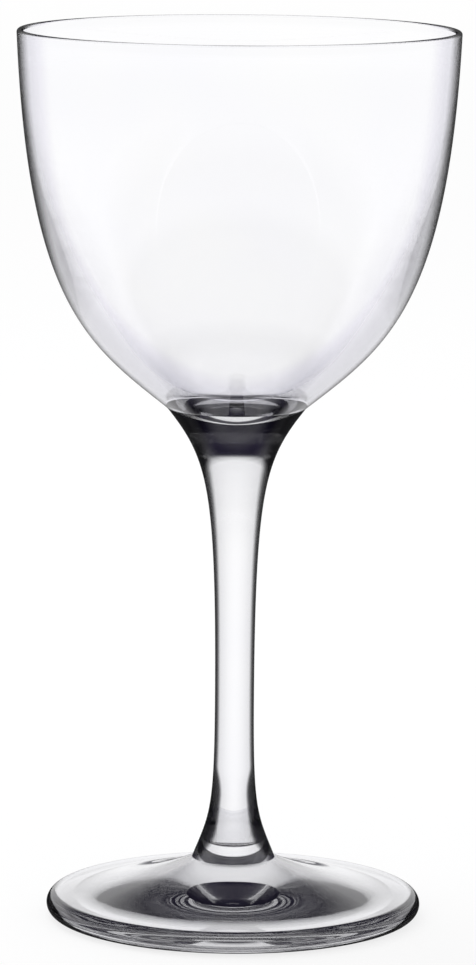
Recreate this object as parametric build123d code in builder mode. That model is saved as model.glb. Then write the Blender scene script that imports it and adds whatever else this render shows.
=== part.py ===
from build123d import *
import os
from math import cos, radians, sin

# A nick and nora glass, in three pieces of glass that were fused to each other while hot:
# a blown bowl with a thick base, a drawn solid stem, and a pressed foot with a rounded edge.
# Sizes are in millimetres and angles in degrees. +Z is up, and the origin lies on the table,
# under the middle of the foot.

# Heights, one above the other from the table up
foot_height = 9.7  # table to the stem's seat on the foot
stem_length = 77.0  # seat on the foot to seat under the bowl
bowl_height = 63.3  # seat under the bowl to the top of the rim

# Fused joints, each shared by the two pieces that meet there
bowl_seat_diameter = 23.4
bowl_seat_dip = 2.6  # how far the bowl's round bottom sinks into the stem's dished top
foot_seat_diameter = 14.0

# Bowl. A fullness is how far a curve keeps to its end direction, as a share of its own height or width.
rim_diameter = 74.0  # outside
rim_wall = 1.05  # the rim is melted round across this thickness
rim_lean = 2.5  # how far the outside leans outwards at the rim
bowl_spread = 51.3  # how far the outside leans outwards where it leaves the seat
bowl_base_fullness = 0.27
bowl_side_fullness = 0.72
floor_thickness = 2.8  # glass under the bottom of the hollow
hollow_lean = 0.4  # how far the inside leans outwards at the rim
hollow_floor_fullness = 0.2
hollow_side_fullness = 0.78

# Stem
waist_diameter = 6.6  # the thinnest place
waist_height = 27.3  # above the seat on the foot
stem_top_spread = 38.0  # how far the flare leans outwards under the bowl
stem_top_fullness = 0.22
stem_upper_fullness = 0.74
stem_bottom_spread = 22.0  # how far the flare leans outwards on the foot
stem_bottom_fullness = 0.29
stem_lower_fullness = 0.71

# Foot
foot_diameter = 63.4
foot_edge = 3.7  # thickness of the full-round edge
foot_edge_slope = 0.6  # rise of the top at the edge
foot_seat_slope = 27.0  # rise of the top at the stem
foot_edge_fullness = 0.26
foot_seat_fullness = 0.25
rest_ring_width = 2.8  # flat ring that the glass stands on
foot_hollow = 1.75  # depth of the shallow dome inside that ring

# Places that follow from the sizes
bowl_seat_z = foot_height + stem_length
rim_z = bowl_seat_z + bowl_height
waist_z = foot_height + waist_height
bowl_seat_edge = (bowl_seat_diameter / 2, bowl_seat_z)
bowl_seat_middle = (0, bowl_seat_z - bowl_seat_dip)
bowl_seat_radius = (bowl_seat_edge[0] ** 2 + bowl_seat_dip ** 2) / (2 * bowl_seat_dip)
foot_seat_edge = (foot_seat_diameter / 2, foot_height)


def step(point, angle, length):
    """The point at this length from another, in a direction turned up by the angle from straight outwards."""
    return (point[0] + length * cos(radians(angle)), point[1] + length * sin(radians(angle)))


# Bowl: blown in a mould, with its rim cut and melted round, and its round bottom sunk in the stem
rim_outer = (rim_diameter / 2, rim_z - rim_wall / 2)
rim_top = (rim_diameter / 2 - rim_wall / 2, rim_z)
rim_inner = (rim_diameter / 2 - rim_wall, rim_z - rim_wall / 2)
hollow_floor = (0, bowl_seat_middle[1] + floor_thickness)
hollow_depth = rim_z - hollow_floor[1]
with BuildPart() as bowl:
    with BuildSketch(Plane.XZ):
        with BuildLine():
            RadiusArc(bowl_seat_middle, bowl_seat_edge, -bowl_seat_radius)
            Bezier(
                bowl_seat_edge,
                step(bowl_seat_edge, 90 - bowl_spread, bowl_base_fullness * bowl_height),
                step(rim_outer, -90 - rim_lean, bowl_side_fullness * bowl_height),
                rim_outer,
            )
            ThreePointArc(rim_outer, rim_top, rim_inner)
            Bezier(
                rim_inner,
                step(rim_inner, -90 - hollow_lean, hollow_side_fullness * hollow_depth),
                step(hollow_floor, 0, hollow_floor_fullness * rim_inner[0]),
                hollow_floor,
            )
            Line(hollow_floor, bowl_seat_middle)
        make_face()
    revolve(axis=Axis.Z)
bowl.part.label = "bowl"

# Stem: a solid gather drawn out to a thin waist, flared at both ends, with a dished top that holds the bowl
waist = (waist_diameter / 2, waist_z)
upper_stem = bowl_seat_z - waist_z
with BuildPart() as stem:
    with BuildSketch(Plane.XZ):
        with BuildLine():
            Line((0, foot_height), foot_seat_edge)
            Bezier(
                foot_seat_edge,
                step(foot_seat_edge, 90 + stem_bottom_spread, stem_bottom_fullness * waist_height),
                step(waist, -90, stem_lower_fullness * waist_height),
                waist,
            )
            Bezier(
                waist,
                step(waist, 90, stem_upper_fullness * upper_stem),
                step(bowl_seat_edge, -90 - stem_top_spread, stem_top_fullness * upper_stem),
                bowl_seat_edge,
            )
            RadiusArc(bowl_seat_edge, bowl_seat_middle, bowl_seat_radius)
            Line(bowl_seat_middle, (0, foot_height))
        make_face()
    revolve(axis=Axis.Z)
stem.part.label = "stem"

# Foot: a pressed disc with a full-round edge, a top that rises to the stem, and a shallow dome underneath
edge_radius = foot_edge / 2
edge_centre = (foot_diameter / 2 - edge_radius, edge_radius)
edge_bottom = (edge_centre[0], 0)
edge_top = step(edge_centre, 90 - foot_edge_slope, edge_radius)
foot_top_width = edge_top[0] - foot_seat_edge[0]
ring_inner = (edge_bottom[0] - rest_ring_width, 0)
dome_top = (0, foot_hollow)
dome_radius = (ring_inner[0] ** 2 + foot_hollow ** 2) / (2 * foot_hollow)
with BuildPart() as foot:
    with BuildSketch(Plane.XZ):
        with BuildLine():
            RadiusArc(dome_top, ring_inner, dome_radius)
            Line(ring_inner, edge_bottom)
            ThreePointArc(edge_bottom, step(edge_centre, 0, edge_radius), edge_top)
            Bezier(
                edge_top,
                step(edge_top, 180 - foot_edge_slope, foot_edge_fullness * foot_top_width),
                step(foot_seat_edge, -foot_seat_slope, foot_seat_fullness * foot_top_width),
                foot_seat_edge,
            )
            Line(foot_seat_edge, (0, foot_height))
            Line((0, foot_height), dome_top)
        make_face()
    revolve(axis=Axis.Z)
foot.part.label = "foot"

os.makedirs("parts", exist_ok=True)
export_step(bowl.part, "parts/bowl.step")
export_step(stem.part, "parts/stem.step")
export_step(foot.part, "parts/foot.step")
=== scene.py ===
from math import cos, pi, radians, sin, sqrt

import bmesh
import bpy
from mathutils import Matrix, Vector


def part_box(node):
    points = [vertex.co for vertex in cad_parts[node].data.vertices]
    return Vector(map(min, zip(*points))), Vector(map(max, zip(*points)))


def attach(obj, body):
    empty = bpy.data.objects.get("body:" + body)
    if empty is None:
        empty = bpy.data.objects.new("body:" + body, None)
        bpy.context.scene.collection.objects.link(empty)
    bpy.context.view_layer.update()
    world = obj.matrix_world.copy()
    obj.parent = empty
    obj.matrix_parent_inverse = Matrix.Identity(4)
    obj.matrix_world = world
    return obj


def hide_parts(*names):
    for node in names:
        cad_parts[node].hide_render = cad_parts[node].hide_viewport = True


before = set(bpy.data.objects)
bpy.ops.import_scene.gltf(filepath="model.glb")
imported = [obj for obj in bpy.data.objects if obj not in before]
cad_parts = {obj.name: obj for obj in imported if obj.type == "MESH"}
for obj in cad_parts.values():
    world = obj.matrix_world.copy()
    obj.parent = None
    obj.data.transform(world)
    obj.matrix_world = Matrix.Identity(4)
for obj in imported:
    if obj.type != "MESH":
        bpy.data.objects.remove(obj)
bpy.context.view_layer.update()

# Bowl
# The cup of the glass, blown in a mould out of clear soda-lime glass. Its rim was cut and melted round in a
# flame, its wall thickens towards the bottom, and its round bottom is fused into the stem's dished top.
MM = 0.001
rim_wall = 1.05
rim_lean = 2.5
bowl_spread = 51.3
bowl_base_fullness = 0.27
bowl_side_fullness = 0.72
floor_thickness = 2.8
hollow_lean = 0.4
hollow_floor_fullness = 0.2
hollow_side_fullness = 0.78
rim_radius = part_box("bowl")[1].x / MM
rim_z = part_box("bowl")[1].z / MM
seat_middle = (0.0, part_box("bowl")[0].z / MM)
seat_edge = (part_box("stem")[1].x / MM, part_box("stem")[1].z / MM)
GLASS, FUSED, HOLLOW = 0, 1, 2  # material slots: the outside, a face melted into its neighbour, the inside


def step(point, angle, length):
    """The point at this length from another, in a direction turned up by the angle from straight outwards."""
    return (point[0] + length * cos(radians(angle)), point[1] + length * sin(radians(angle)))


def bend(start, pull_start, pull_end, end, count):
    """Points along a smooth bend that leaves its start and reaches its end along the two pulls."""
    points = []
    for i in range(count + 1):
        t = i / count
        weights = ((1 - t) ** 3, 3 * (1 - t) ** 2 * t, 3 * (1 - t) * t ** 2, t ** 3)
        corners = (start, pull_start, pull_end, end)
        points.append(tuple(sum(w * p[k] for w, p in zip(weights, corners)) for k in (0, 1)))
    return points


def round_edge(centre, radius, start, end, count):
    """Points along an arc between two angles."""
    return [step(centre, start + (end - start) * i / count, radius) for i in range(count + 1)]


def dished(middle, edge, count):
    """Points along the shallow arc from the axis out to an edge that lies higher or lower."""
    rise = edge[1] - middle[1]
    radius = (edge[0] ** 2 + rise ** 2) / (2 * abs(rise))
    points = []
    for i in range(count + 1):
        r = edge[0] * i / count
        sag = radius - sqrt(radius ** 2 - r ** 2)
        points.append((r, middle[1] + (sag if rise > 0 else -sag)))
    return points


def turned(name, runs, segments=256, crease=25):
    """A closed solid turned round the axis, from runs of (points, slot) that lead on from axis to axis. It
    shades smoothly, except along edges sharper than the crease angle."""
    mesh = bpy.data.meshes.new(name)
    solid = bmesh.new()
    rows = []
    for points, slot in runs:
        for r, z in points[1:] if rows else points:
            if r < 1e-6:
                ring = [solid.verts.new((0, 0, z * MM))]
            else:
                turns = [2 * pi * i / segments for i in range(segments)]
                ring = [solid.verts.new((r * cos(a) * MM, r * sin(a) * MM, z * MM)) for a in turns]
            rows.append((ring, slot))
    for (low, _), (high, slot) in zip(rows, rows[1:]):
        for i in range(segments):
            j = (i + 1) % segments
            if len(low) == 1:
                corners = (low[0], high[j], high[i])
            elif len(high) == 1:
                corners = (low[i], low[j], high[0])
            else:
                corners = (low[i], low[j], high[j], high[i])
            face = solid.faces.new(corners)
            face.material_index = slot
            face.smooth = True
    bmesh.ops.recalc_face_normals(solid, faces=solid.faces)
    solid.to_mesh(mesh)
    solid.free()
    mesh.set_sharp_from_angle(angle=radians(crease))
    piece = bpy.data.objects.new(name, mesh)
    bpy.context.scene.collection.objects.link(piece)
    return piece


rim_outer = (rim_radius, rim_z - rim_wall / 2)
rim_inner = (rim_radius - rim_wall, rim_z - rim_wall / 2)
bowl_height = rim_z - seat_edge[1]
hollow_floor = (0.0, seat_middle[1] + floor_thickness)
hollow_depth = rim_z - hollow_floor[1]
bowl_seat = dished(seat_middle, seat_edge, count=24)
outside = bend(
    seat_edge,
    step(seat_edge, 90 - bowl_spread, bowl_base_fullness * bowl_height),
    step(rim_outer, -90 - rim_lean, bowl_side_fullness * bowl_height),
    rim_outer,
    count=96,
)
rim = round_edge((rim_radius - rim_wall / 2, rim_outer[1]), rim_wall / 2, 0, 180, count=16)
inside = bend(
    rim_inner,
    step(rim_inner, -90 - hollow_lean, hollow_side_fullness * hollow_depth),
    step(hollow_floor, 0, hollow_floor_fullness * rim_inner[0]),
    hollow_floor,
    count=96,
)
bowl = turned("bowl_glass_blown", [(bowl_seat, FUSED), (outside, GLASS), (rim, GLASS), (inside, HOLLOW)])


def linear(hex_colour):
    """An sRGB hex colour as linear red, green, blue and alpha."""
    parts = [int(hex_colour[i:i + 2], 16) / 255 for i in (1, 3, 5)]
    return (*[c / 12.92 if c <= 0.04045 else ((c + 0.055) / 1.055) ** 2.4 for c in parts], 1.0)


def add(tree, kind, links=None, stops=(), **settings):
    """A node with its settings. Links maps an input's name or number to the output that feeds it, or to a
    value, and stops are the (place, colour) pairs of a colour ramp."""
    node = tree.nodes.new("ShaderNode" + kind)
    for key, value in settings.items():
        setattr(node, key, value)
    for key, value in (links or {}).items():
        if isinstance(value, bpy.types.NodeSocket):
            tree.links.new(value, node.inputs[key])
        else:
            node.inputs[key].default_value = value
    while stops and len(node.color_ramp.elements) < len(stops):
        node.color_ramp.elements.new(1.0)
    for i, (place, colour) in enumerate(stops):
        node.color_ramp.elements[i].position = place
        node.color_ramp.elements[i].color = colour
    return node


def clear_glass(name, hues, cloud_mm, ripple, aslant, painted_grazing_darks, painted_wall_darks, thick, widen, root=None):
    """Clear glass whose tint drifts between two hues in clouds of a size in millimetres, with a surface
    ripple of (size in mm, stretch along x, y and z, depth in mm). Three lists of painted shade go by how far
    a face turns away from the view, from 0 to 1: the painted grey tint of faces seen at a slant, the share of
    painted dark on faces seen edge-on from outside, and the share of painted dark on faces seen from within
    the wall. Thick is a place where light has a long way through the glass, as (height on the axis, distance
    from it where that is full, distance where it ends), in mm, and widen has the factors on the turn for the
    first two lists there. Root is such a place too, where the piece grows into its neighbour, with the least
    share of painted dark there on faces seen from within the wall."""
    glass = bpy.data.materials.new(name)
    glass.use_nodes = True
    tree = glass.node_tree
    tree.nodes.clear()
    place = add(tree, "TexCoord").outputs["Object"]

    def about(height, near, far, value_near, value_far):
        """A value that changes with the distance from a height on the axis."""
        centre = (0, 0, height * MM)
        apart = add(tree, "VectorMath", {0: place, 1: centre}, operation="DISTANCE").outputs["Value"]
        return add(tree, "MapRange", {
            "Value": apart, "From Min": near * MM, "From Max": far * MM,
            "To Min": value_near, "To Max": value_far,
        }, interpolation_type="SMOOTHSTEP").outputs[0]

    # Painted shade by view angle: Layer Weight's facing drives a painted grey and a painted dark, which move
    # with the view
    facing = add(tree, "LayerWeight", {"Blend": 0.5}).outputs["Facing"]
    slant, edge = [
        add(tree, "Math", {0: facing, 1: about(*thick, factor, 1.0)}, operation="MULTIPLY").outputs[0]
        for factor in widen
    ]
    cloud_scale = 1 / (cloud_mm * MM)
    clouds = add(tree, "TexNoise", {"Vector": place, "Scale": cloud_scale, "Detail": 2.0}).outputs["Fac"]
    drift = add(tree, "ValToRGB", {0: clouds}, [(0.3, linear(hues[0])), (0.7, linear(hues[1]))]).outputs[0]
    painted_grey_tint = add(tree, "ValToRGB", {0: slant}, [(at, linear(hue)) for at, hue in aslant]).outputs[0]
    # A Mix node has its two numbers at inputs 2 and 3, and its two colours at inputs 6 and 7
    tint = add(tree, "Mix", {0: 1.0, 6: drift, 7: painted_grey_tint}, data_type="RGBA", blend_type="MULTIPLY").outputs[2]
    ripple_mm, stretch, depth_mm = ripple
    ripple_scale = 1 / (ripple_mm * MM)
    along = add(tree, "Mapping", {"Vector": place, "Scale": stretch}).outputs["Vector"]
    waves = add(tree, "TexNoise", {"Vector": along, "Scale": ripple_scale, "Detail": 1.0}).outputs["Fac"]
    normal = add(tree, "Bump", {"Strength": 1.0, "Distance": depth_mm * MM, "Height": waves}).outputs["Normal"]
    body = add(tree, "BsdfPrincipled", {
        "Base Color": tint, "Roughness": 0.0, "IOR": 1.52, "Transmission Weight": 1.0, "Normal": normal,
    }).outputs["BSDF"]
    # The painted dark: a dark violet mixed into the glass by the share of painted shade
    painted_dark_glass = add(tree, "BsdfTransparent", {"Color": linear("#24212f")}).outputs["BSDF"]
    grazing_painted_shade = add(tree, "ValToRGB", {0: edge}, [(at, (v, v, v, 1.0)) for at, v in painted_grazing_darks]).outputs[0]
    wall_painted_shade = add(tree, "ValToRGB", {0: facing}, [(at, (v, v, v, 1.0)) for at, v in painted_wall_darks]).outputs[0]
    # Painted shade at the joint: near the root, faces seen from within are painted nearly black
    if root:
        wall_painted_shade = add(tree, "Math", {0: wall_painted_shade, 1: about(*root, 0.0)}, operation="MAXIMUM").outputs[0]
    # Faces seen from outside take the painted dark of edge-on faces, faces seen from within the wall the other
    # list
    within = add(tree, "NewGeometry").outputs["Backfacing"]
    lost = add(tree, "Mix", {0: within, 2: grazing_painted_shade, 3: wall_painted_shade}, data_type="FLOAT").outputs[0]
    skin = add(tree, "MixShader", {0: lost, 1: body, 2: painted_dark_glass}).outputs["Shader"]
    add(tree, "OutputMaterial", {"Surface": skin})
    return glass


# Blown glass is clear and even. Painted shade gives it a dark line up its sides, where the wall is seen
# edge-on, a painted soft violet grey in the thick glass lower down, and only a faint painted grey on the
# inside.
blown = {
    "hues": ("#fdfdff", "#ffffff"), "cloud_mm": 30, "ripple": (14, (1, 1, 1), 0.01),
    "thick": (87, 28, 50), "widen": (1.3, 0.88),
}
blown_outside = clear_glass(
    "blown_soda_lime_glass",
    aslant=[
        (0.0, "#ffffff"), (0.5, "#ffffff"), (0.58, "#e8e6ef"), (0.66, "#d0cfd9"), (0.74, "#c2c1cb"),
        (1.0, "#b3b2bc"),
    ],
    painted_grazing_darks=[(0.0, 0.0), (0.69, 0.0), (0.75, 0.35), (0.8, 0.65), (0.86, 0.88), (1.0, 0.97)],
    painted_wall_darks=[(0.0, 0.0), (0.24, 0.0), (0.3, 0.015), (1.0, 0.015)],
    **blown,
)
blown_inside = clear_glass(
    "blown_soda_lime_glass_inside",
    aslant=[(0.0, "#ffffff"), (0.5, "#ffffff"), (1.0, "#e6e5ec")],
    painted_grazing_darks=[(0.0, 0.0), (0.9, 0.0), (1.0, 0.1)],
    painted_wall_darks=[(0.0, 0.0), (0.24, 0.0), (0.3, 0.045), (1.0, 0.045)],
    **blown,
)

# Glass that melted together has no surface between the two pieces, so light goes straight on.
fused = bpy.data.materials.new("fused_joint")
fused.use_nodes = True
fused.node_tree.nodes.clear()
through = add(fused.node_tree, "BsdfTransparent").outputs["BSDF"]
add(fused.node_tree, "OutputMaterial", {"Surface": through})

for material in (blown_outside, fused, blown_inside):
    bowl.data.materials.append(material)
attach(bowl, "root")
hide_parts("bowl")

# Stem
# The handle of the glass, a solid gather of the same glass, drawn out while hot to a thin waist. It flares at
# both ends: its dished top holds the bowl, and its flat lower end is fused to the foot.
waist_radius = 3.3
waist_height = 27.3
stem_top_spread = 38.0
stem_top_fullness = 0.22
stem_upper_fullness = 0.74
stem_bottom_spread = 22.0
stem_bottom_fullness = 0.29
stem_lower_fullness = 0.71
foot_seat_radius = 7.0
foot_seat_edge = (foot_seat_radius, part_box("stem")[0].z / MM)
waist = (waist_radius, foot_seat_edge[1] + waist_height)
upper_stem = seat_edge[1] - waist[1]
foot_seat = [(0.0, foot_seat_edge[1]), foot_seat_edge]
lower_flare = bend(
    foot_seat_edge,
    step(foot_seat_edge, 90 + stem_bottom_spread, stem_bottom_fullness * waist_height),
    step(waist, -90, stem_lower_fullness * waist_height),
    waist,
    count=48,
)
upper_flare = bend(
    waist,
    step(waist, 90, stem_upper_fullness * upper_stem),
    step(seat_edge, -90 - stem_top_spread, stem_top_fullness * upper_stem),
    seat_edge,
    count=64,
)
stem_dish = list(reversed(bowl_seat))
stem = turned("stem_glass_drawn", [
    (foot_seat, FUSED), (lower_flare, GLASS), (upper_flare, GLASS), (stem_dish, FUSED),
])

# Drawn glass has fine ripples along its length. Painted shade gives it black sides round a bright core, and
# black at both flares, where it meets the next piece, on faces seen from within the glass.
stem.data.materials.append(clear_glass(
    "drawn_soda_lime_glass", hues=("#fbfbfe", "#fefeff"), cloud_mm=18, ripple=(5, (1, 1, 0.12), 0.006),
    aslant=[(0.0, "#ffffff"), (1.0, "#fafafd")],
    painted_grazing_darks=[
        (0.0, 0.0), (0.06, 0.05), (0.17, 0.13), (0.33, 0.22), (0.38, 0.42), (0.44, 0.7), (0.5, 0.87),
        (0.6, 0.95), (1.0, 0.97),
    ],
    painted_wall_darks=[(0.0, 0.0), (0.24, 0.0), (0.28, 0.4), (1.0, 0.75)],
    thick=(17, 5, 9.5), widen=(1.0, 2.2), root=(87, 9.9, 10.2, 0.95),
))
stem.data.materials.append(fused)
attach(stem, "root")
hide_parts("stem")

# Foot
# The disc that the glass stands on, pressed out of a third gather and fire-polished. Its edge is fully round,
# its top rises to the stem's flat end, and it rests on a flat ring round a shallow dome.
foot_edge = 3.7
foot_edge_slope = 0.6
foot_seat_slope = 27.0
foot_edge_fullness = 0.26
foot_seat_fullness = 0.25
rest_ring_width = 2.8
foot_hollow = 1.75
foot_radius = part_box("foot")[1].x / MM
edge_radius = foot_edge / 2
edge_centre = (foot_radius - edge_radius, edge_radius)
edge_top = step(edge_centre, 90 - foot_edge_slope, edge_radius)
foot_top_width = edge_top[0] - foot_seat_edge[0]
ring_inner = (edge_centre[0] - rest_ring_width, 0.0)
dome = dished((0.0, foot_hollow), ring_inner, count=48)
rest_ring = [ring_inner, (edge_centre[0], 0.0)]
foot_rim = round_edge(edge_centre, edge_radius, -90, 90 - foot_edge_slope, count=32)
foot_top = bend(
    edge_top,
    step(edge_top, 180 - foot_edge_slope, foot_edge_fullness * foot_top_width),
    step(foot_seat_edge, -foot_seat_slope, foot_seat_fullness * foot_top_width),
    foot_seat_edge,
    count=48,
)
foot = turned("foot_glass_pressed", [
    (dome, GLASS), (rest_ring, GLASS), (foot_rim, GLASS), (foot_top, GLASS), (list(reversed(foot_seat)), FUSED),
])

# Pressed glass keeps slow waves under its polish. Painted shade, on faces seen edge-on and from within the
# glass, gives it dark wedges where the dome throws the light back, a black middle under the stem, and black at
# the two ends of the edge, round a white border.
foot.data.materials.append(clear_glass(
    "pressed_soda_lime_glass", hues=("#fafafd", "#fefeff"), cloud_mm=12, ripple=(7, (1, 1, 1), 0.012),
    aslant=[(0.0, "#ffffff"), (1.0, "#fafafd")],
    painted_grazing_darks=[(0.0, 0.0), (0.9, 0.0), (0.97, 0.2), (1.0, 0.95)],
    painted_wall_darks=[
        (0.0, 0.0), (0.22, 0.0), (0.26, 0.5), (0.34, 0.5), (0.4, 0.2), (0.5, 0.15), (0.56, 0.3), (1.0, 0.4),
    ],
    thick=(20, 36.3, 34.6), widen=(1.0, 1.65),
))
foot.data.materials.append(fused)
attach(foot, "root")
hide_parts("foot")

# Stage
# A white table in white surroundings, evenly lit, under a dark ceiling and with a painted shadow in a
# dark ring round the foot. The two darks show only in the glass, the ceiling as dark cards do on a
# photographer's table. Its sizes are in metres.
scene = bpy.context.scene
fill_light = 0.75


def seen_directly(tree):
    """1 for rays from the camera, a reflection or a refraction, and 0 for the light that falls on a surface."""
    path = add(tree, "LightPath")
    shiny = add(tree, "Math", {
        0: path.outputs["Is Glossy Ray"], 1: path.outputs["Is Transmission Ray"],
    }, operation="MAXIMUM").outputs[0]
    return add(tree, "Math", {0: path.outputs["Is Camera Ray"], 1: shiny}, operation="MAXIMUM").outputs[0]


world = bpy.data.worlds.new("white_studio")
scene.world = world
world.use_nodes = True
sky = world.node_tree
sky.nodes.clear()
level = add(sky, "MapRange", {"Value": seen_directly(sky), "To Min": fill_light, "To Max": 1.0}).outputs[0]
backdrop = add(sky, "Background", {"Color": linear("#ffffff"), "Strength": level}).outputs[0]
add(sky, "OutputWorld", {"Surface": backdrop})


def sheet(name, corners):
    """A flat stage piece with these corners."""
    mesh = bpy.data.meshes.new(name)
    mesh.from_pydata(corners, [], [tuple(range(len(corners)))])
    piece = bpy.data.objects.new(name, mesh)
    scene.collection.objects.link(piece)
    return piece


# The table's paint takes the glass's soft shadow nearby, and runs into the white of the backdrop further off.
table_half = 12.0
table_drop = 0.3 * MM
glow_near, glow_far = 0.5, 2.5
least_glow = 0.8
signs = ((-1, -1), (1, -1), (1, 1), (-1, 1))
table = sheet("table", [(x * table_half, y * table_half, -table_drop) for x, y in signs])
paint = bpy.data.materials.new("white_table_top")
paint.use_nodes = True
tree = paint.node_tree
tree.nodes.clear()
lit = add(tree, "BsdfDiffuse", {"Color": linear("#fdfdfe")}).outputs[0]
glow = add(tree, "Emission", {"Color": linear("#ffffff"), "Strength": 1.0}).outputs[0]
table_place = add(tree, "TexCoord").outputs["Object"]
spread = add(tree, "VectorMath", {0: table_place}, operation="LENGTH").outputs["Value"]
glow_share = add(tree, "MapRange", {
    "Value": spread, "From Min": glow_near, "From Max": glow_far, "To Min": least_glow, "To Max": 1.0,
}).outputs[0]
share = add(tree, "Math", {0: seen_directly(tree), 1: glow_share}, operation="MULTIPLY").outputs[0]
add(tree, "OutputMaterial", {"Surface": add(tree, "MixShader", {0: share, 1: lit, 2: glow}).outputs[0]})
table.data.materials.append(paint)

# The camera and the light on the table pass the two darks by.
painted_shadow_radius = 0.06
painted_shadow_core, painted_shadow_reach = 0.005, 0.03
ceiling_start, ceiling_full = 0.4, 0.6
room_radius, room_height = 1.0, 1.6
room_sides = 96


def shown_in_glass(piece, darkness):
    """Gives a stage piece a black that shows in glass only, where a function of its tree and position says:
    the dark ceiling, or the painted shadow round the foot.
    """
    piece.visible_camera = False
    piece.visible_diffuse = False
    piece.visible_shadow = False
    black = bpy.data.materials.new("black_drape_and_painted_shadow")
    black.use_nodes = True
    tree = black.node_tree
    tree.nodes.clear()
    shade = darkness(tree, add(tree, "TexCoord").outputs["Object"])
    dark = add(tree, "Emission", {"Color": linear("#1f1d2a"), "Strength": 1.0}).outputs[0]
    clear = add(tree, "BsdfTransparent").outputs[0]
    add(tree, "OutputMaterial", {"Surface": add(tree, "MixShader", {0: shade, 1: clear, 2: dark}).outputs[0]})
    piece.data.materials.append(black)


def painted_shadow_near_foot(tree, place):
    """Painted shadow: black on a ring round the foot, and white inside it and further out."""
    far = add(tree, "VectorMath", {0: place}, operation="LENGTH").outputs["Value"]
    off_ring = add(tree, "Math", {0: far, 1: painted_shadow_radius}, operation="SUBTRACT").outputs[0]
    return add(tree, "MapRange", {
        "Value": add(tree, "Math", {0: off_ring}, operation="ABSOLUTE").outputs[0],
        "From Min": painted_shadow_core, "From Max": painted_shadow_reach, "To Min": 1.0, "To Max": 0.0,
    }).outputs[0]


def ceiling(tree, place):
    """White near the table, and black higher up."""
    height = add(tree, "SeparateXYZ", {0: place}).outputs["Z"]
    return add(tree, "MapRange", {
        "Value": height, "From Min": ceiling_start, "From Max": ceiling_full,
    }).outputs[0]


def room_ring(z):
    """The corners of the round room at a height."""
    turns = [2 * pi * i / room_sides for i in range(room_sides)]
    return [(room_radius * cos(a), room_radius * sin(a), z) for a in turns]


# The painted shadow round the foot lies on a sheet just above the table and shows only in reflections in the
# glass
painted_shadow_sheet = sheet("painted_foot_shadow_sheet", room_ring(-table_drop / 2))
painted_shadow_sheet.visible_transmission = False
shown_in_glass(painted_shadow_sheet, painted_shadow_near_foot)

room = bmesh.new()
low, high = [[room.verts.new(corner) for corner in room_ring(z)] for z in (0.0, room_height)]
for i in range(room_sides):
    j = (i + 1) % room_sides
    room.faces.new((low[i], low[j], high[j], high[i]))
room.faces.new(high)
room_mesh = bpy.data.meshes.new("dark_room")
room.to_mesh(room_mesh)
room.free()
canopy = bpy.data.objects.new("dark_room", room_mesh)
scene.collection.objects.link(canopy)
shown_in_glass(canopy, ceiling)

# One large soft lamp overhead, a little behind, for the faint shadow on the table
lamp_data = bpy.data.lights.new("overhead_softbox", "AREA")
lamp_data.shape = "DISK"
lamp_data.size = 0.8
lamp_data.energy = 5.0
lamp_aim = Vector((0, 0, 0.05))
lamp = bpy.data.objects.new("overhead_softbox", lamp_data)
lamp.location = (-0.25, 0.35, 1.1)
lamp.rotation_euler = (lamp_aim - lamp.location).to_track_quat("-Z", "Y").to_euler()
lamp.visible_glossy = False
lamp.visible_transmission = False
scene.collection.objects.link(lamp)

# Camera
# It stands 0.9 m in front, a little above the rim, looks down at the middle of the glass, and leans by half a
# degree.
photo_height = 965
focal_pixels = 5436
shift_pixels = 1.88
sensor_mm = 36.0
eye = Vector((0.0, -0.903, 0.2138))
aim = Vector((0.0, 0.0, 0.0739))
lean = 0.0077
camera_data = bpy.data.cameras.new("camera")
camera_data.sensor_width = sensor_mm
camera_data.lens = focal_pixels / photo_height * sensor_mm
camera_data.shift_x = shift_pixels / photo_height
camera = bpy.data.objects.new("camera", camera_data)
scene.collection.objects.link(camera)
forward = (aim - eye).normalized()
right = forward.cross(Vector((0, 0, 1))).normalized()
up = right.cross(forward)
leaning_right = right * cos(lean) + up * sin(lean)
leaning_up = up * cos(lean) - right * sin(lean)
turn = Matrix((leaning_right, leaning_up, -forward)).transposed().to_4x4()
camera.matrix_world = Matrix.Translation(eye) @ turn
scene.camera = camera

scene.view_settings.view_transform = "Standard"

# Light passes many glass surfaces before it leaves the foot and the stem
scene.cycles.max_bounces = 96
scene.cycles.transmission_bounces = 96
scene.cycles.glossy_bounces = 96
scene.cycles.transparent_max_bounces = 48
